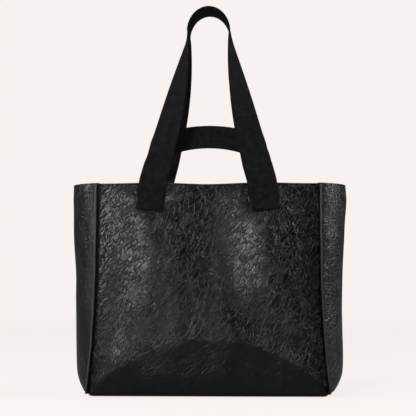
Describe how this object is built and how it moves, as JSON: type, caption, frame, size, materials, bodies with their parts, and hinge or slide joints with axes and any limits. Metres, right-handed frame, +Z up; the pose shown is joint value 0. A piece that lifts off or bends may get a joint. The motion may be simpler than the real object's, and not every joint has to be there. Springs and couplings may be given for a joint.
{
  "type": "diaper bag",
  "caption": "Open-topped black leather tote diaper bag with soft bowed gussets, long shoulder handles, short grab handles, lined interior with pockets, zip pocket and magnetic snap.",
  "frame": {"origin": "middle of the base, on the surface that the bag stands on", "axes": "+X across the bag to its right side seen from the front, +Y from the front to the back, +Z up; the front panel faces -Y"},
  "size_m": [0.4076, 0.1684, 0.5727],
  "materials": {
    "leather": "crackled semi-gloss",
    "webbing": "tight flat weave",
    "lining_cloth": "plain twill",
    "elastic": "ribbed",
    "board": "matte",
    "zip_tape": "woven tape",
    "zip_metal": "gunmetal",
    "snap_metal": "polished gunmetal"
  },
  "bodies": {
    "bag": {"back_panel": "leather", "base_board": "board", "base_panel": "leather", "bottle_elastic_left": "elastic", "bottle_elastic_right": "elastic", "bottle_pocket_left": "lining_cloth", "bottle_pocket_right": "lining_cloth", "facing_back": "leather", "facing_front": "leather", "facing_left": "leather", "facing_right": "leather", "front_panel": "leather", "left_gusset": "leather", "lining_back": "lining_cloth", "lining_base": "lining_cloth", "lining_front": "lining_cloth", "lining_left": "lining_cloth", "lining_right": "lining_cloth", "long_back_end_left": "webbing", "long_back_end_right": "webbing", "long_front_end_left": "webbing", "long_front_end_right": "webbing", "right_gusset": "leather", "seam_back_left": "leather", "seam_back_right": "leather", "seam_front_left": "leather", "seam_front_right": "leather", "short_back_end_left": "webbing", "short_back_end_right": "webbing", "short_front_end_left": "webbing", "short_front_end_right": "webbing", "slip_pocket": "lining_cloth", "snap_socket": "snap_metal", "snap_socket_plate": "snap_metal", "snap_stud": "snap_metal", "snap_stud_plate": "snap_metal", "zip_frame": "leather", "zip_pocket_bag": "lining_cloth", "zip_stop_closed": "zip_metal", "zip_stop_open": "zip_metal", "zip_tape_lower": "zip_tape", "zip_tape_upper": "zip_tape", "zip_teeth_lower": "zip_metal", "zip_teeth_upper": "zip_metal"},
    "long_front_loop": {"long_front_handle": "webbing"},
    "long_back_loop": {"long_back_handle": "webbing"},
    "short_front_loop": {"short_front_handle": "webbing"},
    "short_back_loop": {"short_back_handle": "webbing"},
    "slider": {"zip_slider": "zip_metal"},
    "pull": {"zip_pull": "zip_metal"}
  },
  "joints": [
    {"name": "long_front_fold", "type": "hinge", "parent": "bag", "child": "long_front_loop", "pos_m": [0, -0.07424, 0.31], "axis": [1, 0, 0], "range_deg": [0, 175]},
    {"name": "long_back_fold", "type": "hinge", "parent": "bag", "child": "long_back_loop", "pos_m": [0, 0.07424, 0.31], "axis": [-1, 0, 0], "range_deg": [0, 175]},
    {"name": "short_front_fold", "type": "hinge", "parent": "bag", "child": "short_front_loop", "pos_m": [0, -0.06049, 0.31], "axis": [-1, 0, 0], "range_deg": [-8, 150]},
    {"name": "short_back_fold", "type": "hinge", "parent": "bag", "child": "short_back_loop", "pos_m": [0, 0.06049, 0.31], "axis": [-1, 0, 0], "range_deg": [0, 160]},
    {"name": "zip_slide", "type": "slide", "parent": "bag", "child": "slider", "axis": [1, 0, 0], "range_m": [-0.159, 0]},
    {"name": "zip_pull_swing", "type": "hinge", "parent": "slider", "child": "pull", "pos_m": [0.0795, 0.06358, 0.188], "axis": [-1, 0, 0], "range_deg": [0, 100]}
  ]
}
